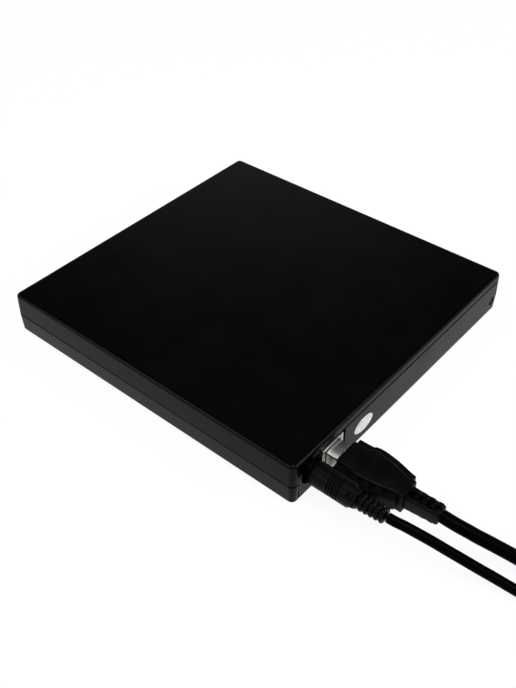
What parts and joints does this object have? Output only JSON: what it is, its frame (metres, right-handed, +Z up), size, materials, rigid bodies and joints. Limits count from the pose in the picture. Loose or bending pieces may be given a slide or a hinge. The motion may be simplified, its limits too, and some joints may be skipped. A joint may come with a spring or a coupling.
{
  "type": "external dvd drive",
  "caption": "Slim tray-loading optical disc drive in a flat black two-part case, with rear data and power sockets and both cables plugged in.",
  "frame": {"origin": "on the table under the middle of the case, at the bottoms of the four feet", "axes": "+X to the right as seen from the tray's front, +Y from the tray's front towards the rear sockets, +Z up"},
  "size_m": [0.168, 0.3438, 0.0192],
  "materials": {
    "shell_plastic": "fine even grain, black, slightly glossy",
    "panel_plastic": "flat dark grey",
    "black_plastic": "moulded black",
    "plug_plastic": "soft moulded black",
    "foot_rubber": "matt black",
    "plated_metal": "bright nickel plating",
    "drive_steel": "pressed zinc-plated sheet",
    "dark_steel": "blackened",
    "circuit_board": "green solder mask",
    "chip_plastic": "moulded black",
    "tray_plastic": "fine-grained dark grey",
    "lamp_plastic": "clear, faint green",
    "cord_sheath": "smooth black sheath, slightly glossy"
  },
  "bodies": {
    "case": {"top_cover": "shell_plastic", "bottom_cover": "shell_plastic", "rubber_foot_front_left": "foot_rubber", "rubber_foot_front_right": "foot_rubber", "rubber_foot_rear_left": "foot_rubber", "rubber_foot_rear_right": "foot_rubber", "case_screw_front_left": "dark_steel", "case_screw_rear_left": "dark_steel", "case_screw_front_right": "dark_steel", "case_screw_rear_right": "dark_steel", "rear_panel": "panel_plastic", "panel_screw": "dark_steel", "bridge_board": "circuit_board", "board_screw_left": "drive_steel", "board_screw_right": "drive_steel", "drive_connector": "black_plastic", "usb_socket_shell": "plated_metal", "usb_socket_tongue": "black_plastic", "dc_jack": "black_plastic", "dc_jack_pin": "plated_metal", "drive_pan": "drive_steel", "drive_lid": "drive_steel", "rail_guide_right": "black_plastic", "rail_guide_left": "black_plastic", "lock_post": "drive_steel", "usb_plug_shell": "plated_metal", "usb_plug": "plug_plastic", "dc_plug": "plug_plastic", "dc_barrel": "plated_metal", "usb_coil": "cord_sheath", "usb_cord": "cord_sheath", "dc_coil": "cord_sheath", "dc_cord": "cord_sheath", "usb_far_plug": "plug_plastic", "usb_far_shell": "plated_metal", "dc_far_plug": "plug_plastic", "dc_far_shell": "plated_metal"},
    "tray": {"tray": "tray_plastic", "tray_bezel": "black_plastic", "activity_lamp": "lamp_plastic", "eject_spring": "drive_steel", "tray_bottom_plate": "drive_steel", "tray_board": "circuit_board", "mechanism_frame": "dark_steel", "damper_1": "foot_rubber", "damper_2": "foot_rubber", "damper_3": "foot_rubber", "guide_rod_inner": "plated_metal", "guide_rod_outer": "plated_metal", "spindle_motor": "drive_steel", "sled_motor": "drive_steel", "latch_magnet": "dark_steel"},
    "rail_left": {"slide_rail_left": "drive_steel"},
    "rail_right": {"slide_rail_right": "drive_steel"},
    "turntable": {"turntable": "black_plastic"},
    "pickup": {"pickup_sled": "dark_steel"},
    "lens": {"lens_holder": "chip_plastic"},
    "lead_screw": {"lead_screw": "plated_metal"},
    "eject_button": {"eject_button": "black_plastic"},
    "latch": {"latch_lever": "plated_metal"}
  },
  "joints": [
    {"name": "tray_slide", "type": "slide", "parent": "case", "child": "tray", "axis": [0, -1, 0], "range_m": [0, 0.118]},
    {"name": "rail_left_slide", "type": "slide", "parent": "case", "child": "rail_left", "axis": [0, -1, 0], "range_m": [0, 0.059]},
    {"name": "rail_right_slide", "type": "slide", "parent": "case", "child": "rail_right", "axis": [0, -1, 0], "range_m": [0, 0.059]},
    {"name": "turntable_spin", "type": "hinge", "parent": "tray", "child": "turntable", "pos_m": [0, -0.008, 0.01], "axis": [0, 0, 1], "continuous": true},
    {"name": "pickup_slide", "type": "slide", "parent": "tray", "child": "pickup", "axis": [-0.7071, -0.7071, 0], "range_m": [0, 0.036]},
    {"name": "lens_focus", "type": "slide", "parent": "pickup", "child": "lens", "axis": [0, 0, 1], "range_m": [-0.0002, 0.0004], "stiffness_N_per_m": 60},
    {"name": "lead_screw_spin", "type": "hinge", "parent": "tray", "child": "lead_screw", "pos_m": [-0.03776, -0.01182, 0.0071], "axis": [-0.7071, -0.7071, 0], "range_deg": [0, 4321]},
    {"name": "eject_button_press", "type": "slide", "parent": "tray", "child": "eject_button", "axis": [0, 1, 0], "range_m": [0, 0.0008], "stiffness_N_per_m": 600, "springref_m": -0.0008, "deforming": ["eject_spring"]},
    {"name": "latch_swing", "type": "hinge", "parent": "tray", "child": "latch", "pos_m": [0.042, 0.028, 0.006], "axis": [0, 0, 1], "range_deg": [0, 7]}
  ],
  "couplings": [
    {"joint": "rail_left_slide", "follows": "tray_slide", "ratio": 0.5},
    {"joint": "rail_right_slide", "follows": "tray_slide", "ratio": 0.5},
    {"joint": "lead_screw_spin", "follows": "pickup_slide", "rad_per_m": 2094.4}
  ]
}
